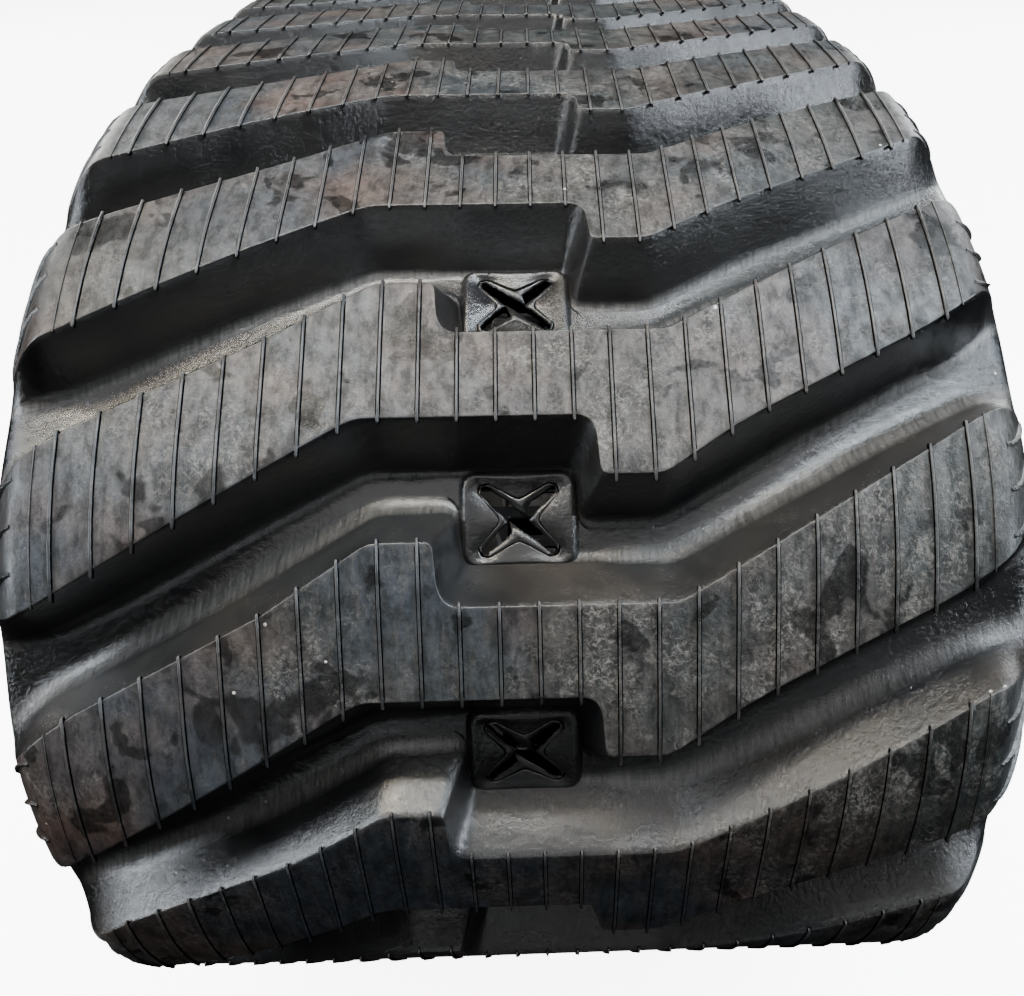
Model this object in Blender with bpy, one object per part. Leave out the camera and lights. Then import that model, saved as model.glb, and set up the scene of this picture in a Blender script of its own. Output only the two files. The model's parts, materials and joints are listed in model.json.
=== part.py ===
"""Rubber track: an endless reinforced rubber belt with zig-zag tread lugs, sprocket windows
closed by slit rubber webs, and one steel core embedded in every pitch.

The belt is drawn flat first, in belt coordinates: x across the belt, s along it and h
outwards from the cord layer. It is then wound onto the loop. Metres, +Z up, and the
belt's width lies along X. The loop stands on the lugs of its bottom run, with the origin
under its middle.

The belt is modelled as stiff sections that meet at flex lines, each on the centre line of
a sprocket window at the height of the cord layer, where real belts bend.
"""

from math import ceil, cos, floor, pi, radians, sin, tan

import bmesh
import bpy
from mathutils import Vector

# Driving dimensions.
PITCH = 0.100
BELT_WIDTH = 0.450
PITCHES_IN_LOOP = 44
END_REACH = 6.08          # pitches of belt, each side of a tip, that the rounded end takes
INNER_FACE = -0.012       # h of the roller side of the belt
OUTER_FACE = 0.012        # h of the belt's face between the lugs
LUG_TOP = 0.041           # h of the lugs' ground face
CLEARANCE = 0.0003        # gap between neighbouring pieces

# The stiff zone at each core, and where the belt's facets break, in pitches from a core.
STIFF_HALF = 0.2
FACET_BREAK = 0.25

# Zig-zag lug: x in rib spacings and s in pitches, for the upper edge of the ground face.
# The lower edge is the same line turned half a turn.
RIB_SPACING = 0.0162
LUG_EDGE = [(-12.0, 0.274), (-3.75, -0.398), (-2.25, -0.398), (-2.10, -0.370),
            (-2.02, -0.260), (-1.55, -0.192), (4.05, -0.192), (12.0, -0.770)]
LUG_SHIFT = -0.020        # s of a lug's centre past its core, in pitches
LUG_WALL_RUN = 0.130      # how far a lug's wall leans out over its height, in pitches
NOTCH_LEAN = 0.008        # how far the wall of a lug's step leans out across the belt
LUG_END_RUN = 0.023       # the same at the lug's two sloping ends, in metres
LUG_ROOT = 0.008          # h where the lug solid starts, inside the belt

# Sprocket window and the slit web over it.
WINDOW_HALF_X = 0.0250
WINDOW_HALF_S = 0.0170
WEB_THICKNESS = 0.004
SLIT_TIP_X = 0.0182
SLIT_TIP_S = 0.0138
SLIT_WAIST = 0.0030

# Steel core, seen along the belt: a bridge between windows, two horns and two wings.
CORE_HALF_S = 0.0135
HORN_TIP_HALF_S = 0.008
WING_REACH = 0.150
WING_BOTTOM = -0.0065
WING_TIP_TOP = 0.001
BRIDGE_HALF_X = 0.0255
BRIDGE_TOP = 0.004
BRIDGE_BOTTOM = -0.011
HORN_ROOT_X = (0.028, 0.060)
HORN_TIP_X = (0.034, 0.051)
HORN_TIP = -0.046

# Belt sections, by the pitches from the front tip where they start and end. The front
# tip is pitch 0 and the rear tip is pitch 22. Flex lines lie where two sections meet,
# and the number after each span is the largest turn there, in degrees.
HALF_LOOP = PITCHES_IN_LOOP // 2
NOSE_TURN = 5.0
SHOULDER_TURN = 2.0
FOOT_TURN = 3.0
SEAM_TURN = 0.2
SECTIONS = [
    ("belt_bottom_run", 5.5, 16.5, FOOT_TURN, FOOT_TURN),
    ("belt_front_foot", 3.5, 5.5, SHOULDER_TURN, FOOT_TURN),
    ("belt_front_lower", 1.5, 3.5, NOSE_TURN, SHOULDER_TURN),
    ("belt_front_nose", -1.5, 1.5, NOSE_TURN, NOSE_TURN),
    ("belt_front_upper", -3.5, -1.5, SHOULDER_TURN, NOSE_TURN),
    ("belt_front_crown", -5.5, -3.5, FOOT_TURN, SHOULDER_TURN),
    ("belt_top_run_front", -10.5, -5.5, SEAM_TURN, FOOT_TURN),
    ("belt_rear_foot", 16.5, 18.5, FOOT_TURN, SHOULDER_TURN),
    ("belt_rear_lower", 18.5, 20.5, SHOULDER_TURN, NOSE_TURN),
    ("belt_rear_nose", 20.5, 23.5, NOSE_TURN, NOSE_TURN),
    ("belt_rear_upper", 23.5, 25.5, NOSE_TURN, SHOULDER_TURN),
    ("belt_rear_crown", 25.5, 27.5, SHOULDER_TURN, FOOT_TURN),
    ("belt_top_run_rear", 27.5, 33.5, FOOT_TURN, SEAM_TURN),
]
RELIEF_MARGIN = radians(0.35)   # spare angle in the relief cut at a flex line


# ---------------------------------------------------------------- the loop's shape

def end_angle(u):
    """Turn from the tip, in radians, after u pitches: curvature falls as a raised cosine."""
    part = max(-1.0, min(1.0, u / END_REACH))
    return pi / 2 * part + sin(pi * part) / 2


def core_angle(index):
    """Direction of the belt at core number index, 0 at the front tip, growing downwards."""
    turns, rest = divmod(index + HALF_LOOP / 2, HALF_LOOP)
    return pi * turns + end_angle(rest - HALF_LOOP / 2)


def step(angle_from, angle_to, length):
    """Where an arc of this length ends, as (y, z), while its direction turns."""
    turn = (angle_to - angle_from) / 2
    middle = (angle_to + angle_from) / 2
    chord = length * (sin(turn) / turn if abs(turn) > 1e-9 else 1.0)
    return Vector((sin(middle) * chord, -cos(middle) * chord))


def core_places():
    """The cord layer's (y, z) at every core, all the way round and back to the first."""
    places = {0: Vector((0.0, 0.0))}
    for index in range(PITCHES_IN_LOOP):
        places[index + 1] = places[index] + along_pitch(index, 1.0)
    return places


def along_pitch(index, part):
    """The way from core index to a place a part of a pitch further on, as (y, z)."""
    here = core_angle(index)
    ahead = core_angle(index + 1)
    way = step(here, here, min(part, STIFF_HALF) * PITCH)
    bent = min(max(part - STIFF_HALF, 0.0), 1.0 - 2 * STIFF_HALF)
    share = bent / (1.0 - 2 * STIFF_HALF)
    way += step(here, here + (ahead - here) * share, bent * PITCH)
    way += step(ahead, ahead, max(part - 1.0 + STIFF_HALF, 0.0) * PITCH)
    return way


def direction(index, part):
    """Direction of the belt a part of a pitch after core index, in radians."""
    share = (part - STIFF_HALF) / (1.0 - 2 * STIFF_HALF)
    share = max(0.0, min(1.0, share))
    return core_angle(index) + (core_angle(index + 1) - core_angle(index)) * share


CORE_PLACES = core_places()
LOOP_MIDDLE = (CORE_PLACES[0] + CORE_PLACES[HALF_LOOP]) / 2
GROUND = CORE_PLACES[HALF_LOOP // 2][1] - LUG_TOP


def wind(flat):
    """World place of a point given as (x, s, h) on the flat belt, with s from core 0."""
    pitches = flat[1] / PITCH
    index = floor(pitches)
    part = pitches - index
    angle = direction(index, part)
    place = CORE_PLACES[index % PITCHES_IN_LOOP] + along_pitch(index, part)
    y = place[0] - LOOP_MIDDLE[0] - cos(angle) * flat[2]
    z = place[1] - GROUND - sin(angle) * flat[2]
    return Vector((flat[0], y, z))


# ---------------------------------------------------------------- flat building blocks

def loft(name, rings):
    """A closed solid through matching rings of points, the first ring at its bottom."""
    mesh = bpy.data.meshes.new(name)
    bm = bmesh.new()
    add_loft(bm, rings)
    bm.to_mesh(mesh)
    bm.free()
    return linked(name, mesh)


def add_loft(bm, rings):
    made = [[bm.verts.new(point) for point in ring] for ring in rings]
    size = len(made[0])
    faces = [bm.faces.new(made[0][::-1]), bm.faces.new(made[-1])]
    for low, high in zip(made, made[1:]):
        for i in range(size):
            j = (i + 1) % size
            faces.append(bm.faces.new((low[i], low[j], high[j], high[i])))
    bmesh.ops.recalc_face_normals(bm, faces=faces)


def linked(name, mesh):
    obj = bpy.data.objects.new(name, mesh)
    bpy.context.scene.collection.objects.link(obj)
    return obj


def group(name, list_of_rings):
    """One object of several separate closed solids, for use in a Boolean."""
    mesh = bpy.data.meshes.new(name)
    bm = bmesh.new()
    for rings in list_of_rings:
        add_loft(bm, rings)
    bm.to_mesh(mesh)
    bm.free()
    return linked(name, mesh)


def combine(obj, other, operation):
    """Applies an exact Boolean to obj and removes the other object."""
    modifier = obj.modifiers.new(operation, "BOOLEAN")
    modifier.operation = operation
    modifier.object = other
    modifier.solver = "EXACT"
    graph = bpy.context.evaluated_depsgraph_get()
    result = bpy.data.meshes.new_from_object(obj.evaluated_get(graph))
    obj.modifiers.clear()
    obj.data = result
    bpy.data.objects.remove(other)


def lug_outline(height):
    """The lug's outline at a height h, as (x, s) round the lug."""
    lean = (LUG_TOP - height) / (LUG_TOP - OUTER_FACE)
    edge = []
    for ribs, pitches in LUG_EDGE:
        out = 0.0
        if abs(ribs) > 11:
            out = LUG_END_RUN if ribs > 0 else -LUG_END_RUN
        elif -3 < ribs < -1:
            out = NOTCH_LEAN
        x = ribs * RIB_SPACING + out * lean
        edge.append((x, (pitches - LUG_WALL_RUN * lean) * PITCH))
    turned = [(-x, -s) for x, s in edge]
    return [(x, s + LUG_SHIFT * PITCH) for x, s in edge + turned]


def lug_rings(index):
    rings = []
    for height in (LUG_ROOT, LUG_TOP):
        rings.append([(x, s + index * PITCH, height) for x, s in lug_outline(height)])
    return rings


def window_rings(middle):
    """The window's shaft, open on the roller side and ending under the web."""
    top = OUTER_FACE - WEB_THICKNESS
    x = WINDOW_HALF_X
    s = WINDOW_HALF_S
    corners = [(-x, -s), (x, -s), (x, s), (-x, s)]
    return [[(a, b + middle, h) for a, b in corners] for h in (INNER_FACE - 0.002, top)]


def slit_rings(middle):
    """The X-shaped slit, opened a little, through the web."""
    star = []
    for turn in range(8):
        angle = pi / 4 * turn
        if turn % 2:
            star.append((SLIT_TIP_X * 2 ** 0.5 * cos(angle), SLIT_TIP_S * 2 ** 0.5 * sin(angle)))
        else:
            star.append((SLIT_WAIST * cos(angle), SLIT_WAIST * sin(angle)))
    low = OUTER_FACE - WEB_THICKNESS - 0.002
    return [[(a, b + middle, h) for a, b in star] for h in (low, OUTER_FACE + 0.002)]


def both_sides(half):
    """A closed outline in (x, h) from its right half, given from the top down."""
    return half + [(-x, h) for x, h in reversed(half)]


def slab_rings(outline, half_width, index):
    """An outline in (x, h) given a width along the belt, at a core."""
    rings = []
    for side in (1, -1):
        rings.append([(x, side * half_width + index * PITCH, h) for x, h in outline])
    return rings


def core_bar_rings(index):
    """The core's bar: the bridge between two windows, and a wing on each side."""
    outline = both_sides([
        (HORN_ROOT_X[1], BRIDGE_TOP),
        (WING_REACH, WING_TIP_TOP),
        (WING_REACH, WING_BOTTOM),
        (HORN_ROOT_X[1], WING_BOTTOM),
        (HORN_ROOT_X[0], WING_BOTTOM),
        (BRIDGE_HALF_X, BRIDGE_BOTTOM),
    ])
    return slab_rings(outline, CORE_HALF_S, index)


def pocket_rings(index):
    """The space round the core's bar, open on the roller side from horn to horn."""
    gap = CLEARANCE
    side = HORN_ROOT_X[1] + gap
    outline = both_sides([
        (side, BRIDGE_TOP + gap),
        (WING_REACH + gap, WING_TIP_TOP + gap),
        (WING_REACH + gap, WING_BOTTOM - gap),
        (side, WING_BOTTOM - gap),
        (side, INNER_FACE - 0.002),
    ])
    return slab_rings(outline, CORE_HALF_S + gap, index)


def span_outline(start, end, start_turn, end_turn):
    """The section seen across the belt, as (s, h), with a relief cut at both flex lines."""
    start_lean = tan(radians(start_turn) / 2 + RELIEF_MARGIN)
    end_lean = tan(radians(end_turn) / 2 + RELIEF_MARGIN)
    outline = []
    for h in (-0.060, 0.0, 0.060):
        outline.append((start * PITCH + CLEARANCE / 2 + abs(h) * start_lean, h))
    for h in (0.060, 0.0, -0.060):
        outline.append((end * PITCH - CLEARANCE / 2 - abs(h) * end_lean, h))
    return outline


# ---------------------------------------------------------------- the pieces

def flat_section(name, length, start_turn, end_turn):
    """A section of this many pitches, on the flat belt, with s from its first core."""
    edge = BELT_WIDTH / 2
    start = -0.5
    end = length - 0.5
    low = (start - 0.2) * PITCH
    high = (end + 0.2) * PITCH
    corners = [(-edge, low), (edge, low), (edge, high), (-edge, high)]
    belt = loft(name, [[(x, s, h) for x, s in corners] for h in (INNER_FACE, OUTER_FACE)])
    lugs = [lug_rings(i) for i in range(-1, length + 1)]
    combine(belt, group("lugs", lugs), "UNION")
    windows = [(start + i) * PITCH for i in range(length + 1)]
    combine(belt, group("windows", [window_rings(s) for s in windows]), "DIFFERENCE")
    combine(belt, group("slits", [slit_rings(s) for s in windows]), "DIFFERENCE")
    pockets = [pocket_rings(i) for i in range(length)]
    combine(belt, group("pockets", pockets), "DIFFERENCE")
    outline = span_outline(start, end, start_turn, end_turn)
    wide = [[(x, s, h) for s, h in outline] for x in (-0.3, 0.3)]
    combine(belt, loft("span", wide), "INTERSECT")
    return belt


def break_facets(bm, first, length):
    """Splits the faces of a curved stretch across the belt, so that it can bend."""
    for index in range(length):
        for side in (-1, 1):
            turn = core_angle(first + index + side) - core_angle(first + index)
            if abs(turn) < radians(0.5):
                continue
            cut = (index + side * FACET_BREAK) * PITCH
            everything = bm.verts[:] + bm.edges[:] + bm.faces[:]
            bmesh.ops.bisect_plane(bm, geom=everything, dist=1e-6,
                                   plane_co=(0, cut, 0), plane_no=(0, 1, 0))


def belt_section(name, start, end, start_turn, end_turn, material):
    first = ceil(start)
    length = round(end - start)
    obj = flat_section(name, length, start_turn, end_turn)
    bm = bmesh.new()
    bm.from_mesh(obj.data)
    bmesh.ops.dissolve_limit(bm, angle_limit=radians(0.05), verts=bm.verts, edges=bm.edges)
    break_facets(bm, first, length)
    bmesh.ops.triangulate(bm, faces=bm.faces)
    for vert in bm.verts:
        vert.co = wind(vert.co + Vector((0.0, first * PITCH, 0.0)))
    bmesh.ops.reverse_faces(bm, faces=bm.faces)
    place_on_flex_line(obj, bm, end if end < HALF_LOOP / 2 else start)
    finish(obj, bm, material)


def raise_horns(bm):
    """Draws the two horns out of the bar's underside, narrowing towards their tips."""
    middle = sum(HORN_ROOT_X) / 2
    for side in (-1, 1):
        roots = [f for f in bm.faces
                 if f.normal.z < -0.9 and abs(f.calc_center_median().x - side * middle) < 0.005]
        horn = bmesh.ops.extrude_face_region(bm, geom=roots)["geom"]
        bmesh.ops.delete(bm, geom=roots, context="FACES_ONLY")
        for vert in [v for v in horn if isinstance(v, bmesh.types.BMVert)]:
            outer = abs(vert.co.x) > middle
            vert.co.x = side * HORN_TIP_X[1 if outer else 0]
            vert.co.y *= HORN_TIP_HALF_S / CORE_HALF_S
            vert.co.z = HORN_TIP


def steel_core(index, material):
    obj = loft(f"steel_core_{index:02d}", core_bar_rings(0))
    bm = bmesh.new()
    bm.from_mesh(obj.data)
    raise_horns(bm)
    for vert in bm.verts:
        vert.co = wind(vert.co + Vector((0.0, index * PITCH, 0.0)))
    bmesh.ops.triangulate(bm, faces=bm.faces)
    bmesh.ops.reverse_faces(bm, faces=bm.faces)
    place_on_flex_line(obj, bm, index)
    finish(obj, bm, material)


def place_on_flex_line(obj, bm, pitches):
    """Puts the object's origin on the cord layer, this many pitches from the front tip."""
    obj.location = wind((0.0, pitches * PITCH, 0.0))
    for vert in bm.verts:
        vert.co -= obj.location


def finish(obj, bm, material):
    bm.to_mesh(obj.data)
    bm.free()
    obj.data.materials.clear()
    obj.data.materials.append(material)


def surface(name, colour, roughness, metallic):
    material = bpy.data.materials.new(name)
    material.use_nodes = True
    shader = material.node_tree.nodes["Principled BSDF"]
    shader.inputs["Base Color"].default_value = (*colour, 1.0)
    shader.inputs["Roughness"].default_value = roughness
    shader.inputs["Metallic"].default_value = metallic
    return material


def build():
    for obj in list(bpy.data.objects):
        bpy.data.objects.remove(obj)
    rubber = surface("black_rubber", (0.035, 0.034, 0.033), 0.42, 0.0)
    steel = surface("core_steel", (0.16, 0.15, 0.14), 0.55, 0.9)
    for section in SECTIONS:
        belt_section(*section, rubber)
    for index in range(PITCHES_IN_LOOP):
        steel_core(index, steel)


build()
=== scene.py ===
"""Rubber track, visual model: the tread, the inner side and the guide horns as fine meshes, wound
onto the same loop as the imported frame, with procedural rubber and steel."""

import json
from math import pi, radians

import bmesh
import bpy
import numpy as np
from mathutils import Matrix, Vector


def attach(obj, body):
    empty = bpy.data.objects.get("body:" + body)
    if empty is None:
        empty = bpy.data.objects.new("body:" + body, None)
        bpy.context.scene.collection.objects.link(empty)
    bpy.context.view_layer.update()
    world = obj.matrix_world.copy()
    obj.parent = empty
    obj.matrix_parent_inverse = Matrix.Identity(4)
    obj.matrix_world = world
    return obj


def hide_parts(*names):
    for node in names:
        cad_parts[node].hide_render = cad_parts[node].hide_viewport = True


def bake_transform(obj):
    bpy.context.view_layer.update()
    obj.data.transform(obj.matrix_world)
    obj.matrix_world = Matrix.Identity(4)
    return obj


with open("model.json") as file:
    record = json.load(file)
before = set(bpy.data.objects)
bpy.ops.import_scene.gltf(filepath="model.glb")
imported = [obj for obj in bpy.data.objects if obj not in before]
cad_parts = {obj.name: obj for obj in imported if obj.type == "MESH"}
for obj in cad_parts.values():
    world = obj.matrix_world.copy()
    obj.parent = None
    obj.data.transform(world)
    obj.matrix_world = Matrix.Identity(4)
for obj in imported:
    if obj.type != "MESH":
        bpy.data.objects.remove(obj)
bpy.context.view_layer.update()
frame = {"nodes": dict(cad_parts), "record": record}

# The frame's driving dimensions, in metres. The belt is drawn flat as (x, s, h): x across,
# s along the belt from the front tip and growing downwards, h outwards from the cord layer.
PITCH = 0.100
PITCHES_IN_LOOP = 44
HALF_LOOP = 22
END_REACH = 6.08
STIFF_HALF = 0.2
LUG_TOP = 0.041
FLOOR = 0.011             # h of the gaps' floor
INNER = -0.012            # h of the roller side
RIB_SPACING = 0.0162
RIBS_EACH_SIDE = 12
LUG_END = RIBS_EACH_SIDE * RIB_SPACING
BELT_HALF = 0.225
# A lug's upper edge, x in rib spacings and s in pitches, and its corners' radii at top and foot.
LUG_EDGE = [(-14.0, 0.4369), (-3.75, -0.398), (-2.14, -0.398), (-2.02, -0.192),
            (4.05, -0.192), (14.0, -0.9154)]
TOP_RADII = (0.016, 0.0035, 0.0100, 0.016)
FOOT_RADII = (0.026, 0.0070, 0.0120, 0.026)
LUG_SHIFT = -0.020 * PITCH
WALL_RUN = 0.130 * PITCH  # how far a lug's wall leans out over its height
NOTCH_LEAN = 0.0085       # the same across the belt, at the lug's step
RIM = 0.0008              # radius of a lug's upper rim
SHOULDER_TUCK = 0.0045    # how much a lug narrows on each side over the shoulder
LEAST_FLOOR = 0.0035      # flat floor left between the fillets of two lugs
# The fillets at the feet of a lug's upper and lower wall: their radius near the belt's middle,
# how much it grows on the outer arms, and the x over which it grows.
UPPER_FILLET = (0.0062, 0.0098)
LOWER_FILLET = (0.0055, 0.0045)
FILLET_GROWS = (0.034, 0.060)
RIB = (0.00075, 0.0012, 0.0028)       # half width, height and reach past the lug's edges
END_RIB = (0.00035, 0.0005, 0.0010)   # the same for the fine rib at a lug's end
RIDGE_SHARES = (0.2, 0.5, 0.8)        # where the shoulder ridges stand along a lug's end
RIDGE_REACH = (0.0090, 0.0440)        # where a ridge starts and ends, measured down the shoulder
RIDGE_BEND = 0.018                    # how far along the belt it curves away
RIDGE_HALF = (0.0011, 0.0003)         # its half width at its foot and its crest
RIDGE_HEIGHT = 0.0016
RIDGE_SUNK = 0.0004                   # how far its foot is sunk into the shoulder


# ---------------------------------------------------------------- the loop, as in the frame

def end_angle(u):
    part = np.clip(u / END_REACH, -1.0, 1.0)
    return pi / 2 * part + np.sin(pi * part) / 2


def core_angle(index):
    turns = np.floor((index + HALF_LOOP / 2) / HALF_LOOP)
    rest = index + HALF_LOOP / 2 - turns * HALF_LOOP
    return pi * turns + end_angle(rest - HALF_LOOP / 2)


def arc(start, end, length):
    turn = (end - start) / 2
    middle = (end + start) / 2
    chord = length * np.sinc(turn / pi)
    return np.stack([np.sin(middle) * chord, -np.cos(middle) * chord], -1)


def along_pitch(index, part):
    here = core_angle(index)
    ahead = core_angle(index + 1)
    bent = np.clip(part - STIFF_HALF, 0.0, 1.0 - 2 * STIFF_HALF)
    share = bent / (1.0 - 2 * STIFF_HALF)
    way = arc(here, here, np.minimum(part, STIFF_HALF) * PITCH)
    way = way + arc(here, here + (ahead - here) * share, bent * PITCH)
    return way + arc(ahead, ahead, np.maximum(part - 1.0 + STIFF_HALF, 0.0) * PITCH)


STEPS = along_pitch(np.arange(PITCHES_IN_LOOP, dtype=float), np.ones(PITCHES_IN_LOOP))
CORES = np.vstack([[0.0, 0.0], np.cumsum(STEPS, axis=0)])
LOOP_MIDDLE = (CORES[0] + CORES[HALF_LOOP]) / 2
GROUND = CORES[HALF_LOOP // 2][1] - LUG_TOP


def wind(flat):
    """World places of flat belt points, as an array of (x, s, h) rows."""
    flat = np.asarray(flat, float).reshape(-1, 3)
    pitches = flat[:, 1] / PITCH
    index = np.floor(pitches)
    part = pitches - index
    share = np.clip((part - STIFF_HALF) / (1.0 - 2 * STIFF_HALF), 0.0, 1.0)
    angle = core_angle(index) + (core_angle(index + 1) - core_angle(index)) * share
    place = CORES[index.astype(int) % PITCHES_IN_LOOP] + along_pitch(index, part)
    y = place[:, 0] - LOOP_MIDDLE[0] - np.cos(angle) * flat[:, 2]
    z = place[:, 1] - GROUND - np.sin(angle) * flat[:, 2]
    return np.stack([flat[:, 0], y, z], 1)


# ---------------------------------------------------------------- meshes in belt coordinates

class Skin:
    """Gathers flat belt points, faces and two masks, then makes one wound mesh."""

    def __init__(self):
        self.points, self.masks, self.faces, self.count = [], [], [], 0

    def add(self, points, faces, top=0.0, wall=0.0):
        points = np.asarray(points, float).reshape(-1, 3)
        masks = np.zeros((len(points), 2))
        masks[:, 0] = np.ravel(top)
        masks[:, 1] = np.ravel(wall)
        self.faces += [tuple(i + self.count for i in face) for face in faces]
        self.points.append(points)
        self.masks.append(masks)
        self.count += len(points)

    def grid(self, points, top=0.0, wall=0.0, keep=None, closed=False):
        """A sheet of rows by columns of points. keep says which cells stay."""
        rows, columns = points.shape[:2]
        wide = columns if closed else columns - 1
        faces = []
        for r in range(rows - 1):
            for c in range(wide):
                if keep is None or keep[r, c]:
                    d = (c + 1) % columns
                    a, b = r * columns, (r + 1) * columns
                    faces.append((a + c, b + c, b + d, a + d))
        self.add(points, faces, np.broadcast_to(top, (rows, columns)) if np.ndim(top) else top,
                 np.broadcast_to(wall, (rows, columns)) if np.ndim(wall) else wall)

    def mesh(self, name):
        flat = np.concatenate(self.points)
        masks = np.concatenate(self.masks)
        mesh = bpy.data.meshes.new(name)
        mesh.from_pydata(wind(flat).tolist(), [], self.faces)
        belt = mesh.attributes.new("belt", "FLOAT_VECTOR", "POINT")
        belt.data.foreach_set("vector", flat.astype(np.float32).ravel())
        bm = bmesh.new()
        bm.from_mesh(mesh)
        loose = [v for v in bm.verts if not v.link_faces]
        bmesh.ops.delete(bm, geom=loose, context="VERTS")
        bm.to_mesh(mesh)
        bm.free()
        used = np.zeros(len(flat), bool)
        used[np.unique(np.concatenate([np.ravel(f) for f in self.faces]).astype(int))] = True
        for column, mask in enumerate(("lug_top", "lug_wall")):
            layer = mesh.attributes.new(mask, "FLOAT", "POINT")
            layer.data.foreach_set("value", masks[used, column].astype(np.float32))
        mesh.polygons.foreach_set("use_smooth", np.ones(len(mesh.polygons), bool))
        up = np.array([v.normal.z for v in mesh.vertices], np.float32)
        layer = mesh.attributes.new("faces_up", "FLOAT", "POINT")
        layer.data.foreach_set("value", np.clip(up, 0.0, 1.0))
        obj = bpy.data.objects.new(name, mesh)
        bpy.context.scene.collection.objects.link(obj)
        return obj


def rounded_edge(radii):
    """The lug's upper edge as (x, s) arrays in metres, with its corners rounded."""
    corners = np.array([(x * RIB_SPACING, s * PITCH) for x, s in LUG_EDGE])
    line = [corners[0]]
    for i, radius in enumerate(radii, 1):
        back = corners[i - 1] - corners[i]
        ahead = corners[i + 1] - corners[i]
        reach = min(np.linalg.norm(back), np.linalg.norm(ahead)) * 0.48
        back, ahead = back / np.linalg.norm(back), ahead / np.linalg.norm(ahead)
        turn = pi - np.arccos(np.clip(back @ ahead, -1, 1))
        cut = min(reach, radius * np.tan(turn / 2))
        for way in np.linspace(0, 1, 9):
            line.append(corners[i] + back * cut * (1 - way) ** 2 + ahead * cut * way ** 2)
    return np.array(line + [corners[-1]]).T


TOP_LINE = rounded_edge(TOP_RADII)
FOOT_LINE = rounded_edge(FOOT_RADII)


def upper_edge(x, low=0.0):
    """Where the lug's upper edge lies at x, from its top (low 0) to its foot (low 1)."""
    top = np.interp(x, *TOP_LINE)
    return top + (np.interp(x, *FOOT_LINE) - top) * low


def lug_span(x):
    """The s of a lug's upper and lower edge at x, past its core."""
    return upper_edge(x) + LUG_SHIFT, LUG_SHIFT - upper_edge(-x)


def notch_lean(x):
    """How far across the belt the upper edge's step moves on its way down to its foot."""
    return NOTCH_LEAN * np.interp(x / RIB_SPACING, (-3.6, -2.5, -2.0, -1.25), (0, 1, 1, 0))


# Columns across the belt: fine where the tread's edges turn, then the rounded shoulder.
HALF_X = np.concatenate([np.linspace(0, 0.0195, 7)[1:], np.linspace(0.0195, 0.0320, 13)[1:],
                         np.linspace(0.0320, 0.0362, 11)[1:], np.linspace(0.0362, 0.042, 5)[1:],
                         np.linspace(0.042, 0.078, 11)[1:], np.linspace(0.078, LUG_END, 10)[1:]])
SHOULDER_OUT = np.array([0.0030, 0.0060, 0.0090, 0.0120, 0.0155, 0.0190, 0.0225, 0.0262, 0.0295, 0.0316,
                         0.0324, 0.0324, 0.0312, 0.0280])
SHOULDER_LUG = np.array([0.0409, 0.0404, 0.0391, 0.0368, 0.0332, 0.0288, 0.0240, 0.0188, 0.0138, 0.0090,
                         0.0040, -0.0075, -0.0110, -0.0120])
SHOULDER_GAP = np.array([0.0110, 0.0110, 0.0110, 0.0109, 0.0108, 0.0107, 0.0106, 0.0103, 0.0096, 0.0080,
                         0.0040, -0.0075, -0.0110, -0.0120])
RIGHT = np.concatenate([HALF_X, LUG_END + SHOULDER_OUT])
COLUMNS = np.concatenate([-RIGHT[::-1], [0.0], RIGHT])
SLOPE = np.arctan2(LUG_TOP - FLOOR, WALL_RUN)
TOP_INSET = 0.0026        # how far in from its edge the lug's flat top starts
PANEL_HOLE = 0.0195       # half width of the floor's opening under a window's panel
FLOOR_ROWS = 5            # rows at each end of a pitch that the opening takes


def wall_profile(radius):
    """Rows from the gap's middle up onto the lug: (distance, height, top mask, wall mask).
    The first two rows' distance is a share of the floor. The others' is in metres, outwards
    from the lug's edge. The radius is that of the fillet at the wall's foot."""
    cut = radius * np.tan(SLOPE / 2)
    floor = np.full_like(radius, FLOOR)
    rows = [(0.0, floor, 0, 0), (0.55, floor, 0, 0)]
    for turn in np.linspace(0, SLOPE, 6):
        across = WALL_RUN + cut - radius * np.sin(turn)
        rows.append((across, FLOOR + radius * (1 - np.cos(turn)), 0, turn / SLOPE * 0.8))
    foot = rows[-1]
    for share in (0.3, 0.6, 0.88):
        rows.append((foot[0] * (1 - share), foot[1] + (LUG_TOP - foot[1]) * share, 0, 1))
    top = floor + LUG_TOP - FLOOR
    for turn in (0.12, 0.5, 1.0):
        lean = SLOPE * (1 - turn)
        across = -RIM * (np.tan(SLOPE / 2) - np.sin(lean))
        rows.append((across, top - RIM * (1 - np.cos(lean)), turn, 1 - turn))
    rows.append((-0.0011, top, 1, 0))
    rows.append((-TOP_INSET, top, 1, 0))
    return rows


def round_shoulders(height):
    """Bends the outermost columns of rows of heights down over the belt's shoulders."""
    share = np.clip((height - FLOOR) / (LUG_TOP - FLOOR), 0.0, 1.0)
    count = len(SHOULDER_OUT)
    rise = SHOULDER_LUG - SHOULDER_GAP
    height[:, -count:] = SHOULDER_GAP + rise * share[:, -count:]
    height[:, :count] = SHOULDER_GAP[::-1] + rise[::-1] * share[:, :count]
    return height


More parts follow.
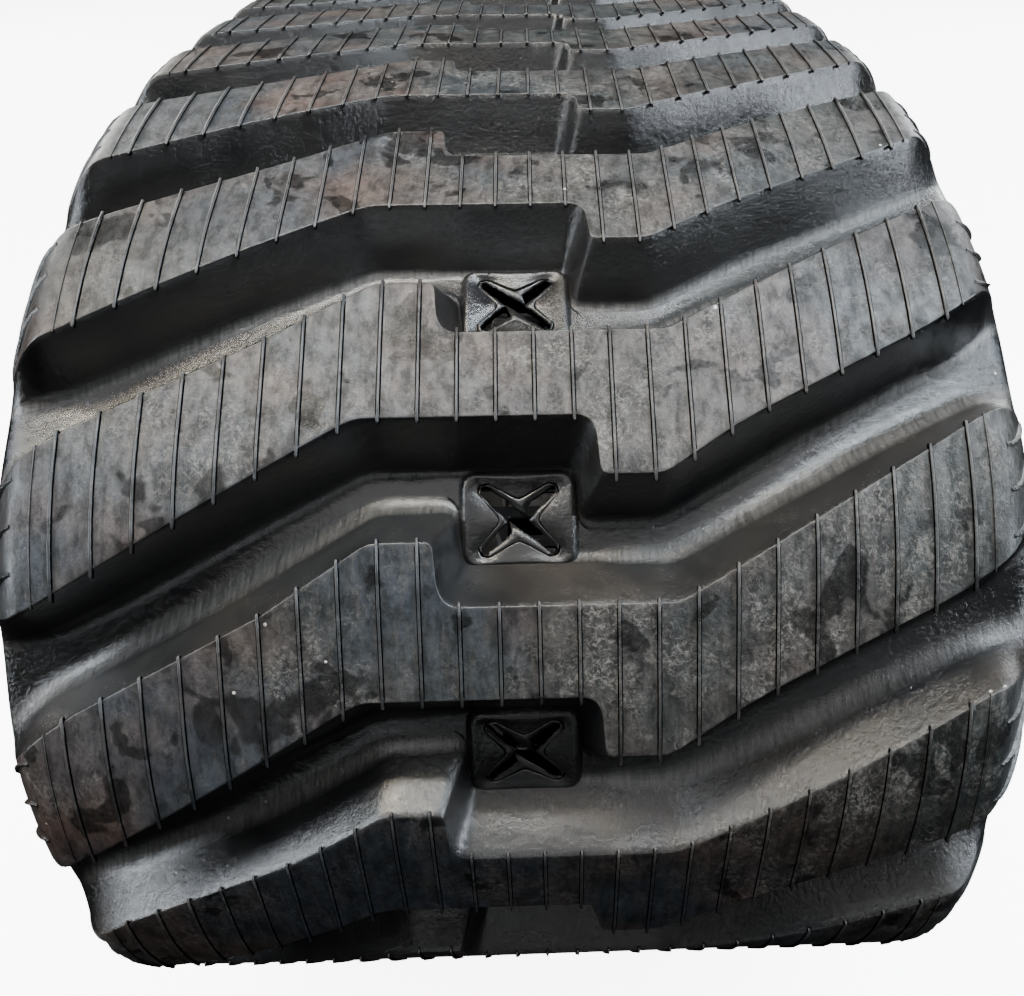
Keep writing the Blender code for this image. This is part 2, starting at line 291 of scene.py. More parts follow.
def tread(skin, index):
    """The outer skin of one pitch, from the middle of one gap to the middle of the next."""
    x = COLUMNS
    out = np.clip(np.abs(x) - LUG_END, 0.0, None) / (BELT_HALF - LUG_END)
    tuck = SHOULDER_TUCK * np.clip(out, 0, 1) ** 1.5
    arm = np.interp(np.abs(x), FILLET_GROWS, (0.0, 1.0))
    top, foot = upper_edge(x) + tuck, upper_edge(x, 1.0) + tuck
    top_b, foot_b = -upper_edge(-x) - tuck, -upper_edge(-x, 1.0) - tuck
    radius = UPPER_FILLET[0] + UPPER_FILLET[1] * arm
    radius_b = LOWER_FILLET[0] + LOWER_FILLET[1] * arm
    flat = PITCH + foot - foot_b - 2 * WALL_RUN - LEAST_FLOOR
    fit = np.minimum(1.0, flat / ((radius + radius_b) * np.tan(SLOPE / 2)))
    upper, lower = wall_profile(radius * fit), wall_profile(radius_b * fit)
    middle = (upper_edge(x, 1.0) - upper_edge(-x, 1.0) - PITCH + lower[2][0] - upper[2][0]) / 2
    across_x, places, heights, masks = [], [], [], []

    def add_row(row):
        places.append(row[0])
        heights.append(row[1])
        masks.append(row[2:])

    def edge_rows(rows, edge, foot_edge, start, sign):
        for i, (across, height, on_top, on_wall) in enumerate(rows):
            if i < 2:
                low = across
                begin = foot_edge - sign * rows[2][0]
                place = start + (begin - start) * across
            else:
                low = np.clip((LUG_TOP - height) / (LUG_TOP - FLOOR), 0, 1)
                place = edge + (foot_edge - edge) * low - sign * across
            across_x.append(x + sign * notch_lean(sign * x) * low)
            yield place, height, on_top, on_wall

    for row in edge_rows(upper, top, foot, middle, 1):
        add_row(row)
    for share in (0.25, 0.5, 0.75):
        across_x.append(x)
        place = top + TOP_INSET + (top_b - top - 2 * TOP_INSET) * share
        add_row((place, np.full_like(x, LUG_TOP), 1, 0))
    turned = len(across_x)
    for row in reversed(list(edge_rows(lower, top_b, foot_b, middle + PITCH, -1))):
        add_row(row)
    across_x[turned:] = across_x[:turned - 1:-1]
    s = np.array(places) + LUG_SHIFT + index * PITCH
    h = round_shoulders(np.array(heights))
    fade = np.clip(1 - out * 0.7, 0, 1)
    on_top = np.array([m[0] for m in masks])[:, None] * fade
    on_wall = np.array([m[1] for m in masks])[:, None] * np.ones_like(fade)
    points = np.stack([np.array(across_x), s, h], -1)
    keep = np.ones((len(h) - 1, len(COLUMNS) - 1), bool)
    centre = np.abs((COLUMNS[:-1] + COLUMNS[1:]) / 2) < PANEL_HOLE
    keep[:FLOOR_ROWS, centre] = False
    keep[-FLOOR_ROWS:, centre] = False
    skin.grid(points, on_top, on_wall, keep)


# Sprocket window panel: rings of 4 arms, each drawn from one hollow over its arm to the next.
PANEL_HALF = (0.0245, 0.0188)
PANEL_TOP = 0.0145
STAR_TIP = (0.0179, 0.0150)
STAR_HOLLOW = (0.0089, 0.0086)
SLIT_TIP = (0.0176, 0.0142)
SLIT_ROOT = 0.16          # where a slit's arm starts, as a share of its length
SLIT_HALF = (0.0021, 0.0034)          # least and most half width of an arm at its root
RAGGED = 0.0004
SLIT_DISH = 0.0014        # how far the panel is dished at its middle
STAR_FACE = -0.0009       # how far in from the star's edge its face starts
WEB_BOTTOM = 0.0082       # h of the web's underside
SHAFT_HALF = (0.0250, 0.0170)
ARM_STEPS = 9
DARK = 2.0                # wall mask over 1, which paints a surface near black as painted shade


def ring_round(corner_points):
    """A closed ring through polyline corners, resampled to the panel's point count."""
    ring = []
    for quadrant in range(4):
        line = np.array(corner_points[quadrant], float)
        length = np.concatenate([[0], np.cumsum(np.linalg.norm(np.diff(line, axis=0), axis=1))])
        at = np.linspace(0, length[-1], 2 * ARM_STEPS + 1)[:-1]
        ring += [(np.interp(a, length, line[:, 0]), np.interp(a, length, line[:, 1])) for a in at]
    return np.array(ring)


QUADRANTS = [(1, 1), (-1, 1), (-1, -1), (1, -1)]


def quadrant_lines(line):
    """Mirrors a line from the x side to the s side of the first quadrant into all four."""
    lines = []
    for i, (sx, ss) in enumerate(QUADRANTS):
        way = line if i % 2 == 0 else line[::-1]
        lines.append([(sx * x, ss * s) for x, s in way])
    return lines


def rectangle_ring(half_x, half_s, radius):
    corner = [(half_x, 0.0), (half_x, half_s - radius)]
    for turn in np.linspace(0, pi / 2, 7):
        corner.append((half_x - radius + radius * np.cos(turn), half_s - radius + radius * np.sin(turn)))
    return ring_round(quadrant_lines(corner + [(0.0, half_s)]))


def star_ring(grow):
    tip = np.array(STAR_TIP) + grow
    hollow = np.array(STAR_HOLLOW) + grow
    line = [(hollow[0], 0.0), (hollow[0] + 0.0007, 0.0020), (tip[0], tip[1] - 0.0042),
            (tip[0] - 0.0008, tip[1] - 0.0010), (tip[0] - 0.0045, tip[1]),
            (0.0024, hollow[1] + 0.0008), (0.0, hollow[1])]
    return ring_round(quadrant_lines(line))


def slit_ring(seed):
    """The torn X slit: four tapering arms with slightly ragged edges."""
    random = np.random.default_rng(seed)
    ring = []
    for i, (sx, ss) in enumerate(QUADRANTS):
        tip = np.array(SLIT_TIP) * random.uniform(0.9, 1.0)
        length = np.linalg.norm(tip)
        way = tip / length
        across = np.array([way[1], -way[0]])
        width = random.uniform(*SLIT_HALF)
        line = []
        for side in (1, -1):
            for step in range(ARM_STEPS):
                share = step / ARM_STEPS if side > 0 else 1 - step / ARM_STEPS
                along = length * (SLIT_ROOT + (1 - SLIT_ROOT) * share)
                half = width * (1 - 0.5 * share ** 2) + random.uniform(-RAGGED, RAGGED)
                if share > 0.98:
                    half = 0.0
                line.append(way * along + across * side * half)
        if i % 2:
            line = [line[-j] for j in range(len(line))]
        ring += [(sx * x, ss * s) for x, s in line]
    return np.array(ring)


def panel(skin, index):
    """The raised panel over one window, with its star-shaped recess, slit and shaft."""
    middle = (index - 0.5) * PITCH
    outer = rectangle_ring(*PANEL_HALF, 0.0048)
    rings, marks = [], []

    def ring(flat, height, dish=0.0, mark=0.08):
        marks.append(np.full(len(flat), mark))
        lower = dish * (1 - (np.abs(flat[:, 0]) / PANEL_HALF[0]) ** 4)
        rings.append(np.column_stack([flat[:, 0], flat[:, 1] + middle, height - lower]))

    def shrunk(inset):
        return outer * (1 - inset / np.linalg.norm(outer, axis=1, keepdims=True))

    # The rounded rim, from the gap's floor up and in.
    for inset, height in ((-0.0030, 0.0078), (-0.0018, 0.0106), (-0.0006, 0.0128), (0.0006, 0.0142),
                          (0.0018, 0.0148), (0.0028, 0.0148), (0.0044, 0.0140)):
        ring(shrunk(inset), height)
    # The star's edge, a fine groove painted near black as shade, and the face inside it.
    for grow, drop, mark in ((0.0006, 0.0, 0.08), (0.0002, 0.0001, 0.08), (0.0, 0.0008, 1.9),
                             (-0.0004, 0.0009, 1.9), (STAR_FACE, 0.0004, 0.08)):
        ring(star_ring(grow), PANEL_TOP - drop, 0.0012, mark)
    # The slit's lips, and its walls, whose lower part is painted near black as shade.
    slit = slit_ring(1000 + index)
    ring(star_ring(STAR_FACE) * 0.8 + slit * 0.2, PANEL_TOP - 0.0004, 0.0013)
    ring(slit * 1.012, PANEL_TOP - 0.0005, SLIT_DISH)
    ring(slit, PANEL_TOP - 0.0010, SLIT_DISH)
    ring(slit, PANEL_TOP - 0.0018, SLIT_DISH, DARK)
    ring(slit, WEB_BOTTOM, 0.0, DARK)
    # The shaft below the web, through to the roller side, painted near black as shade for most of its
    # depth.
    shaft = rectangle_ring(*SHAFT_HALF, 0.003)
    ring(shaft * 0.96, WEB_BOTTOM, 0.0, DARK)
    ring(shaft, 0.0074, 0.0, DARK)
    ring(shaft, -0.0090, 0.0, DARK)
    ring(shaft, -0.0106)
    ring(shaft * 1.03, INNER)
    skin.grid(np.array(rings), 0.0, np.array(marks), closed=True)


def rib(skin, index, x, half, height, over):
    """A thin raised rib across a lug's ground face, standing a little past both edges."""
    start, end = (float(edge[0]) for edge in lug_span(np.array([x])))
    start, end = start - over * 0.6, end + over
    middle = np.linspace(start, end, 7)[1:-1]
    stations = np.concatenate([[start, start + 0.0006], middle, [end - 0.0008, end]])
    last = len(stations) - 1
    base = LUG_TOP - 0.0012
    rows = []
    for i, s in enumerate(stations):
        tall = height * (0.35 if i in (0, last) else 1.0)
        thin = 0.6 if i in (0, last) else 1.0
        section = [(-half, base), (-half * 0.95, LUG_TOP + tall * 0.3), (-half * 0.55, LUG_TOP + tall),
                   (half * 0.55, LUG_TOP + tall), (half * 0.95, LUG_TOP + tall * 0.3), (half, base)]
        rows.append([(x + a * thin, s + index * PITCH, h) for a, h in section])
    points = np.array(rows)
    crest = np.array([0.0, 0.0, 0.7, 0.7, 0.0, 0.0])
    # The rib's sides carry painted shade, near black, through the wall mask; its crest takes most of the
    # ground face's colour.
    hollow = np.array([DARK, DARK, 0.3, 0.3, DARK, DARK])
    skin.grid(points, np.tile(crest, (len(rows), 1)), np.tile(hollow, (len(rows), 1)))
    for row, order in ((0, range(6)), (last, range(5, -1, -1))):
        skin.add(points[row], [tuple(order)], 0.2, 0.5)
    # A painted shadow: a near-black strip along each side of the rib's foot, just above the lug's face.
    shadow_stations = np.linspace(start + over * 0.6 + 0.0012, end - over - 0.0012, 12)
    for side in (-1, 1):
        near_far = (half * 0.8, half * 1.40)
        strip = [[(x + side * a, s + index * PITCH, LUG_TOP + 0.00012) for a in near_far]
                 for s in shadow_stations[::side]]
        skin.grid(np.array(strip), 0.0, DARK)


def ridge(skin, index, side, share):
    """A short curved ridge that runs off a lug's end, down over the shoulder."""
    curve_x = np.concatenate([[LUG_END], LUG_END + SHOULDER_OUT[:11]])
    curve_h = np.concatenate([[LUG_TOP], SHOULDER_LUG[:11]])
    length = np.concatenate([[0], np.cumsum(np.hypot(np.diff(curve_x), np.diff(curve_h)))])
    start, end = (float(edge[0]) for edge in lug_span(np.array([side * LUG_END])))
    stations = np.linspace(*RIDGE_REACH, 9)
    way = []
    for at in stations:
        run = (at - stations[0]) / (stations[-1] - stations[0])
        s = start + (end - start) * share - side * RIDGE_BEND * run ** 1.5
        way.append((np.interp(at, length, curve_x), s, np.interp(at, length, curve_h)))
    way = np.array(way)
    ahead = np.gradient(way, axis=0)
    normal = np.stack([-ahead[:, 2], np.zeros(len(way)), ahead[:, 0]], 1)
    normal /= np.linalg.norm(normal, axis=1, keepdims=True)
    across = np.cross(ahead, normal)
    across /= np.linalg.norm(across, axis=1, keepdims=True)
    taper = np.sin(np.linspace(0.12, pi - 0.12, len(way)))[:, None] ** 0.6
    crest = way + normal * RIDGE_HEIGHT * taper
    foot = way - normal * RIDGE_SUNK
    foot_half, crest_half = (across * half for half in RIDGE_HALF)
    points = np.stack([foot - foot_half, crest - crest_half, crest + crest_half,
                       foot + foot_half], 1)
    points[..., 0] *= side
    points[..., 1] += index * PITCH
    if side < 0:
        points = points[:, ::-1]
    skin.grid(points[:, ::-1], 0.4, 0.0)


INNER_X = np.array([0.0, 0.0125, 0.0250, 0.0360, 0.0603, 0.0665, 0.0720, 0.0800, 0.0825, 0.1150, 0.1450,
                    0.1620, 0.1650, 0.1860, 0.2080, 0.2235])
INNER_T = np.array([0.0, 0.0070, 0.0138, 0.0195, 0.0255, 0.0330, 0.0420, 0.0500])
ROLLER_PATH = (0.0820, 0.1625)        # from and to, across the belt
ROLLER_RISE = 0.0020
BOSS_RISE = 0.0035
WINDOW_CUT = (0.0250, 0.0330)         # half width, and distance from the core where it starts
CORE_CUT = (0.0603, 0.0138)           # half width and half length of the opening for the core


def inner_side(skin, index):
    """The roller side of one pitch: raised roller paths, bosses round the guide horns, and
    openings for the sprocket windows and the core."""
    x = np.concatenate([-INNER_X[:0:-1], INNER_X])
    t = np.concatenate([-INNER_T[:0:-1], INNER_T])
    wide, far = np.meshgrid(np.abs(x), np.abs(t))
    h = np.full(wide.shape, INNER)
    h[(wide > ROLLER_PATH[0]) & (wide < ROLLER_PATH[1])] = INNER - ROLLER_RISE
    boss = np.clip((0.0730 - wide) / 0.006, 0, 1) * np.clip((wide - 0.040) / 0.02, 0, 1)
    boss *= np.clip((0.0260 - far) / 0.006, 0, 1)
    h -= BOSS_RISE * boss
    s = np.broadcast_to(t[:, None], h.shape) + index * PITCH
    points = np.stack([np.broadcast_to(x, h.shape), s, h], -1)
    cell_x = np.abs(x[:-1] + x[1:]) / 2
    cell_t = np.abs(t[:-1] + t[1:]) / 2
    window = (cell_t > WINDOW_CUT[1])[:, None] & (cell_x < WINDOW_CUT[0])[None]
    core = (cell_t < CORE_CUT[1])[:, None] & (cell_x < CORE_CUT[0])[None]
    skin.grid(points[:, ::-1], 0.0, 0.1, ~(window | core)[:, ::-1])


def belt_piece(name, tiles, body, far_body=None):
    """The rubber of some neighbouring pitches as one piece. With a second body it is attached to
    no body and stays where it was wound."""
    skin = Skin()
    for index in tiles:
        tread(skin, index)
        panel(skin, index)
        inner_side(skin, index)
        for j in range(RIBS_EACH_SIDE):
            for side in (-1, 1):
                rib(skin, index, side * (j + 0.5) * RIB_SPACING, *RIB)
        for side in (-1, 1):
            rib(skin, index, side * LUG_END, *END_RIB)
            for share in RIDGE_SHARES:
                ridge(skin, index, side, share)
    obj = skin.mesh(name)
    obj.data.materials.append(RUBBER)
    if far_body is None:
        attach(obj, body)
        return
    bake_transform(obj)


# ---------------------------------------------------------------- materials

class Shader:
    """A small helper that wires shader nodes."""

    def __init__(self, name):
        self.material = bpy.data.materials.new(name)
        self.material.use_nodes = True
        self.tree = self.material.node_tree
        self.surface = self.tree.nodes["Principled BSDF"]

    def node(self, kind, values=(), **settings):
        made = self.tree.nodes.new(kind)
        for key, value in settings.items():
            setattr(made, key, value)
        for socket, value in dict(values).items():
            if isinstance(value, bpy.types.NodeSocket):
                self.tree.links.new(value, made.inputs[socket])
            else:
                made.inputs[socket].default_value = value
        return made

    def attribute(self, name, output="Fac"):
        return self.node("ShaderNodeAttribute", attribute_name=name).outputs[output]

    def math(self, operation, a, b=0.0, clamp=False):
        return self.node("ShaderNodeMath", {0: a, 1: b}, operation=operation, use_clamp=clamp).outputs[0]

    def noise(self, where, scale, detail=4.0, rough=0.55, warp=0.0):
        made = self.node("ShaderNodeTexNoise", {"Vector": where, "Scale": scale, "Detail": detail,
                                                 "Roughness": rough, "Distortion": warp})
        return made.outputs["Fac"]

    def range(self, value, low, high, to_low=0.0, to_high=1.0):
        made = self.node("ShaderNodeMapRange", {"Value": value, "From Min": low, "From Max": high,
                                                 "To Min": to_low, "To Max": to_high})
        return made.outputs["Result"]

    def mix(self, share, a, b):
        made = self.tree.nodes.new("ShaderNodeMix")
        made.data_type = "RGBA"
        for socket, value in ((0, share), (6, a), (7, b)):
            if isinstance(value, bpy.types.NodeSocket):
                self.tree.links.new(value, made.inputs[socket])
            else:
                made.inputs[socket].default_value = value if socket == 0 else (*value, 1.0)
        return made.outputs[2]

    def stretch(self, where, scale):
        return self.node("ShaderNodeVectorMath", {0: where, 1: scale}, operation="MULTIPLY").outputs[0]

    def link(self, value, socket):
        self.tree.links.new(value, self.surface.inputs[socket])

    def bump(self, height, strength, distance, normal=None):
        values = {"Height": height, "Strength": strength, "Distance": distance}
        if normal is not None:
            values["Normal"] = normal
        return self.node("ShaderNodeBump", values).outputs["Normal"]


def rubber_material():
    m = Shader("moulded_rubber")
    belt = m.attribute("belt", "Vector")
    top = m.attribute("lug_top")
    wall = m.attribute("lug_wall")
    up = m.attribute("faces_up")
    not_top = m.math("SUBTRACT", 1.0, top)
    broad = m.noise(belt, 7.0, 3.0)
    zones = m.noise(belt, 9.0, 2.0)
    hue = m.noise(m.stretch(belt, (1.0, 1.3, 1.0)), 11.0, 2.0)
    patch = m.noise(belt, 45.0, 5.0, 0.6, 0.6)
    streak = m.noise(m.stretch(belt, (9.0, 1.0, 1.0)), 40.0, 4.0, 0.65)
    grain = m.noise(belt, 1100.0, 3.0, 0.6)
    mottle = m.noise(belt, 260.0, 5.0, 0.7, 0.4)

    # The ground faces: blue-grey to red-brown, clouded, scuffed, streaked and stained.
    top_tone = m.mix(m.range(hue, 0.44, 0.60), (0.015, 0.019, 0.025), (0.046, 0.029, 0.024))
    top_tone = m.mix(m.range(broad, 0.38, 0.68), top_tone, (0.012, 0.0145, 0.014))
    cloud = m.noise(m.stretch(belt, (1.6, 1.0, 1.0)), 95.0, 6.0, 0.7, 0.2)
    top_tone = m.mix(m.range(cloud, 0.42, 0.60, 0.0, 0.7), top_tone, (0.0070, 0.0074, 0.0076))
    scuff = m.noise(belt, 520.0, 4.0, 0.75, 0.6)
    worn = m.math("MULTIPLY", m.range(scuff, 0.47, 0.66), m.range(patch, 0.40, 0.64))
    worn = m.math("MULTIPLY", worn, m.range(zones, 0.42, 0.60, 0.25, 1.0))
    top_tone = m.mix(worn, top_tone, (0.125, 0.118, 0.108))
    top_tone = m.mix(m.range(streak, 0.50, 0.80, 0.0, 0.4), top_tone, (0.060, 0.052, 0.044))
    stain = m.range(m.noise(belt, 38.0, 3.0, 0.55, 0.3), 0.595, 0.625)
    top_tone = m.mix(m.math("MULTIPLY", stain, 0.75), top_tone, (0.004, 0.004, 0.004))

    # The walls and gaps: black rubber, dust where they face up, and a painted highlight, a lighter line
    # along the fillet at each wall's foot where it faces up.
    dark = m.mix(m.range(patch, 0.3, 0.7), (0.0035, 0.0036, 0.0040), (0.0075, 0.0073, 0.0070))
    dust = m.math("MULTIPLY", m.math("POWER", up, 1.3), m.range(patch, 0.25, 0.8, 0.35, 1.0), True)
    dusty = m.mix(m.range(hue, 0.46, 0.64), (0.013, 0.0135, 0.014), (0.024, 0.020, 0.0165))
    wall_tone = m.mix(m.math("MULTIPLY", dust, m.range(wall, 0.1, 0.9, 0.10, 1.0)), dark, dusty)
    brushed = m.noise(m.stretch(belt, (7.0, 1.0, 1.0)), 70.0, 4.0, 0.7)
    # A painted highlight: the lighter tone in the foot fillet stands in for the reflection along the
    # crease.
    painted_crease_highlight = m.math("MULTIPLY", m.range(wall, 0.12, 0.38), m.range(wall, 0.78, 0.52))
    painted_crease_highlight = m.math("MULTIPLY", painted_crease_highlight, m.range(brushed, 0.36, 0.60, 0.25, 0.80))
    painted_crease_highlight = m.math("MULTIPLY", painted_crease_highlight, m.range(up, 0.10, 0.60))
    wall_tone = m.mix(painted_crease_highlight, wall_tone, (0.062, 0.060, 0.057))
    colour = m.mix(top, wall_tone, top_tone)

    # White specks, and painted shade: near black wherever the wall mask is over 1, in place of the shade
    # in the slits, shafts, star groove and beside the ribs.
    specks = m.node("ShaderNodeTexVoronoi", {"Vector": belt, "Scale": 60.0})
    speck = m.math("MULTIPLY", m.range(specks.outputs["Distance"], 0.035, 0.05, 1.0, 0.0),
                   m.range(m.noise(belt, 33.0, 1.0), 0.58, 0.60))
    speck = m.math("MULTIPLY", speck, m.math("ADD", top, dust, True))
    colour = m.mix(speck, colour, (0.42, 0.40, 0.36))
    painted_shade = m.range(wall, 1.2, 1.8)
    colour = m.mix(painted_shade, colour, (0.0008, 0.0008, 0.0008))
    m.link(colour, "Base Color")

    # Gloss: dull on the clouded and stained ground faces, satin in the gaps.
    sheen = m.math("MULTIPLY", m.range(cloud, 0.40, 0.60, 0.50, 0.20),
                   m.range(stain, 0.0, 1.0, 1.0, 0.50))
    sheen = m.math("ADD", m.math("MULTIPLY", m.math("SUBTRACT", sheen, 0.40), top), 0.40)
    shine = m.math("MULTIPLY", m.math("SUBTRACT", 1.0, painted_shade), sheen)
    m.link(shine, "Specular IOR Level")
    rough_top = m.math("ADD", m.range(mottle, 0.3, 0.7, -0.12, 0.12),
                       m.range(patch, 0.3, 0.7, 0.40, 0.58))
    rough_low = m.math("ADD", m.range(mottle, 0.3, 0.7, -0.03, 0.04),
                       m.range(patch, 0.3, 0.7, 0.11, 0.21))
    rough_low = m.math("ADD", rough_low, m.math("MULTIPLY", dust, 0.10))
    rough_top = m.math("SUBTRACT", rough_top, m.math("MULTIPLY", stain, 0.14))
    rough = m.math("ADD", m.math("MULTIPLY", top, rough_top), m.math("MULTIPLY", not_top, rough_low))
    m.link(rough, "Roughness")
    m.surface.inputs["IOR"].default_value = 1.50
    m.surface.inputs["Specular IOR Level"].default_value = 0.4

    # Relief: grain, glinting scuffs, mottling, mould marks across the gaps, and broad unevenness.
    fine = m.bump(grain, 0.25, 0.0004)
    glitter = m.math("MULTIPLY", scuff, m.range(zones, 0.46, 0.60, 0.15, 1.0))
    fine = m.bump(glitter, 0.55, 0.0009, fine)
    coarse = m.bump(mottle, 0.40, 0.0008, fine)
    low_bump = m.math("MULTIPLY", brushed, not_top)
    coarse = m.bump(low_bump, 0.22, 0.0010, coarse)
    m.link(m.bump(patch, 0.20, 0.0015, coarse), "Normal")
    return m.material


def steel_material():
    m = Shader("forged_core_steel")
    where = m.node("ShaderNodeTexCoord").outputs["Object"]
    patch = m.noise(where, 60.0, 5.0, 0.6, 0.5)
    grain = m.noise(where, 700.0, 4.0)
    colour = m.mix(m.range(patch, 0.35, 0.65), (0.016, 0.015, 0.014), (0.038, 0.032, 0.027))
    m.link(colour, "Base Color")
    m.link(m.range(patch, 0.3, 0.7, 0.42, 0.72), "Roughness")
    m.surface.inputs["Metallic"].default_value = 0.7
    m.link(m.bump(grain, 0.4, 0.0005), "Normal")
    return m.material


def floor_material():
    m = Shader("studio_floor")
    m.surface.inputs["Base Color"].default_value = (0.86, 0.86, 0.86, 1.0)
    m.surface.inputs["Roughness"].default_value = 0.9
    m.surface.inputs["Emission Color"].default_value = (1.0, 1.0, 1.0, 1.0)
    m.surface.inputs["Emission Strength"].default_value = 7.0
    return m.material


RUBBER = rubber_material()
STEEL = steel_material()

# ---------------------------------------------------------------- the belt's pieces

belt_piece("tread_front_nose", [0], "front_nose")
belt_piece("tread_rear_nose", [22], "rear_nose")
belt_piece("tread_bottom_run", list(range(7, 16)), "bottom_run")
belt_piece("tread_top_front", list(range(34, 38)), "top_run_front")
belt_piece("tread_top_rear", list(range(29, 34)), "top_run_rear")
CHAIN = {"front": ["bottom_run", "front_foot", "front_lower", "front_nose", "front_upper", "front_crown",
                   "top_run_front"],
         "rear": ["bottom_run", "rear_foot", "rear_lower", "rear_nose", "rear_upper", "rear_crown",
                  "top_run_rear"]}
# The flex lines of the front end, in pitches from its tip. The rear end mirrors them.
FRONT_LINES = (5.5, 3.5, 1.5, -1.5, -3.5, -5.5)
for number, line in enumerate(FRONT_LINES):
    first = round(line - 0.5)
    near, far = CHAIN["front"][number:number + 2]
    belt_piece(f"tread_front_flex_{number + 1}", [first, first + 1], far, near)
    first = round(HALF_LOOP - line - 0.5)
    near, far = CHAIN["rear"][number:number + 2]
    belt_piece(f"tread_rear_flex_{number + 1}", [first, first + 1], near, far)

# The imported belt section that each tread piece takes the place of.
STANDS_FOR = {
    "tread_bottom_run": ["belt_bottom_run"],
    "tread_front_nose": ["belt_front_nose"],
    "tread_rear_nose": ["belt_rear_nose"],
    "tread_top_front": ["belt_top_run_front"],
    "tread_top_rear": ["belt_top_run_rear"],
    "tread_front_flex_1": ["belt_front_foot"],
    "tread_front_flex_2": ["belt_front_lower"],
    "tread_front_flex_4": ["belt_front_upper"],
    "tread_front_flex_5": ["belt_front_crown"],
    "tread_rear_flex_1": ["belt_rear_foot"],
    "tread_rear_flex_2": ["belt_rear_lower"],
    "tread_rear_flex_4": ["belt_rear_upper"],
    "tread_rear_flex_5": ["belt_rear_crown"],
}
for piece, nodes in STANDS_FOR.items():
    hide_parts(*nodes)

# ---------------------------------------------------------------- steel cores

CORE_ROUNDING = 0.0022
for body, nodes in frame["record"]["behaviour"]["bodies"].items():
    for node in nodes:
        if not node.startswith("steel_core_"):
            continue
        mesh = frame["nodes"][node].data.copy()
        mesh.name = "horns_" + node[-2:]
        core = bpy.data.objects.new(mesh.name, mesh)
        bpy.context.scene.collection.objects.link(core)
        bm = bmesh.new()
        bm.from_mesh(mesh)
        bmesh.ops.remove_doubles(bm, verts=bm.verts, dist=1e-5)
        bmesh.ops.dissolve_limit(bm, angle_limit=radians(1), verts=bm.verts, edges=bm.edges)
        sharp = [e for e in bm.edges if e.is_manifold and e.calc_face_angle() > radians(20)]
        bmesh.ops.bevel(bm, geom=sharp, offset=CORE_ROUNDING, segments=2, affect="EDGES", profile=0.5,
                        clamp_overlap=True)
        bm.to_mesh(mesh)
        bm.free()
        mesh.polygons.foreach_set("use_smooth", np.ones(len(mesh.polygons), bool))
        mesh.materials.clear()
        mesh.materials.append(STEEL)
        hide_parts(node)
        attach(core, body)

# ---------------------------------------------------------------- studio

bpy.ops.mesh.primitive_plane_add(size=60, location=(0, 0, -0.0012))
ground = bpy.context.object
ground.name = "studio_floor"
ground.data.materials.append(floor_material())
ground.visible_diffuse = False
ground.visible_glossy = False

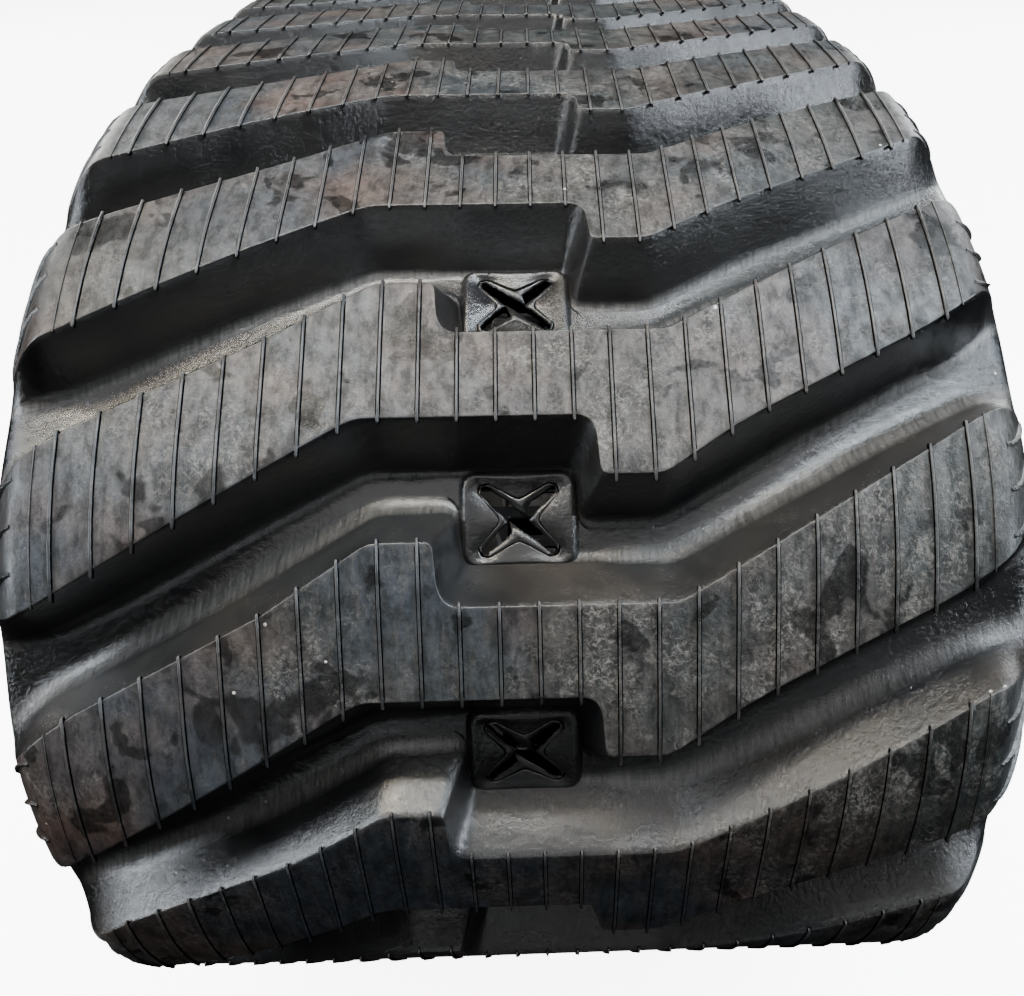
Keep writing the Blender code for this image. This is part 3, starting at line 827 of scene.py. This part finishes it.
# Each light's name, place, aim, size, power and colour.
LIGHTS = [
    ("sky_front", (0.0, -2.17, 2.88), (0, -0.8, 0.3), (3.6, 2.4), 64, (1.0, 1.0, 1.0)),
    ("fill_low", (0.0, -3.0, 0.35), (0, -1.0, 0.25), (2.6, 0.5), 9, (0.93, 0.97, 1.0)),
    ("side_left", (-1.7, -1.2, 1.1), (0, -0.8, 0.3), (0.30, 1.6), 48, (0.86, 0.93, 1.0)),
    ("side_right", (1.7, -1.2, 1.1), (0, -0.8, 0.3), (0.20, 1.6), 60, (0.84, 0.92, 1.0)),
    ("strip_left", (-0.8, -0.85, 2.4), (-0.8, -0.85, 0.3), (1.6, 0.13), 80, (1.0, 0.95, 0.84)),
    ("strip_right", (0.8, -0.85, 2.4), (0.8, -0.85, 0.3), (1.6, 0.13), 80, (0.86, 0.94, 1.0)),
    ("back_left", (-2.6, 2.3, 1.7), (0, 0.5, 0.25), (1.8, 1.8), 120, (1.0, 0.98, 0.95)),
    ("back_right", (2.6, 2.3, 1.7), (0, 0.5, 0.25), (1.8, 1.8), 120, (0.95, 0.98, 1.0)),
    ("lamp_warm", (-0.9, -1.0, 2.3), (0, -0.8, 0.3), (0.12, 1.0), 14, (1.0, 0.80, 0.50)),
    ("lamp_cool", (1.2, -0.7, 2.0), (0, -0.8, 0.3), (0.12, 1.0), 14, (0.62, 0.80, 1.0)),
]
for name, place, aim, size, power, colour in LIGHTS:
    data = bpy.data.lights.new(name, "AREA")
    data.shape = "RECTANGLE"
    data.size, data.size_y = size
    data.energy = power
    data.color = colour
    lamp = bpy.data.objects.new(name, data)
    lamp.location = place
    lamp.rotation_euler = (Vector(aim) - Vector(place)).to_track_quat("-Z", "Y").to_euler()
    bpy.context.scene.collection.objects.link(lamp)

# The world is bright to the camera. For everything else it glows softly, more from above.
world = bpy.data.worlds.new("studio")
bpy.context.scene.world = world
world.use_nodes = True
nodes, links = world.node_tree.nodes, world.node_tree.links
height = nodes.new("ShaderNodeSeparateXYZ")
links.new(nodes.new("ShaderNodeTexCoord").outputs["Generated"], height.inputs[0])
glow = nodes.new("ShaderNodeMapRange")
glow.inputs["From Min"].default_value = -0.05
glow.inputs["From Max"].default_value = 0.9
glow.inputs["To Min"].default_value = 0.14
glow.inputs["To Max"].default_value = 0.6
links.new(height.outputs["Z"], glow.inputs["Value"])
seen = nodes.new("ShaderNodeMix")
links.new(nodes.new("ShaderNodeLightPath").outputs["Is Camera Ray"], seen.inputs[0])
links.new(glow.outputs["Result"], seen.inputs[2])
seen.inputs[3].default_value = 8.0
links.new(seen.outputs[0], nodes["Background"].inputs["Strength"])

camera = bpy.data.objects.new("camera", bpy.data.cameras.new("camera"))
bpy.context.scene.collection.objects.link(camera)
RIGHTWARD = Vector((0.99947, -0.03218, -0.00458))
FORWARD = Vector((0.02315, 0.80364, -0.59467))
UPWARD = Vector((0.02282, 0.59425, 0.80396))
PLACE = Vector((0.00848, -LOOP_MIDDLE[0] - 0.28140, 0.38804 - GROUND))
turn = Matrix((RIGHTWARD, UPWARD, -FORWARD)).transposed()
camera.matrix_world = Matrix.Translation(PLACE) @ turn.to_4x4()
camera.data.lens = 32.79
camera.data.sensor_width = 36.0
camera.data.shift_x = -0.0467
camera.data.shift_y = 0.0142
camera.data.clip_start = 0.05
bpy.context.scene.camera = camera
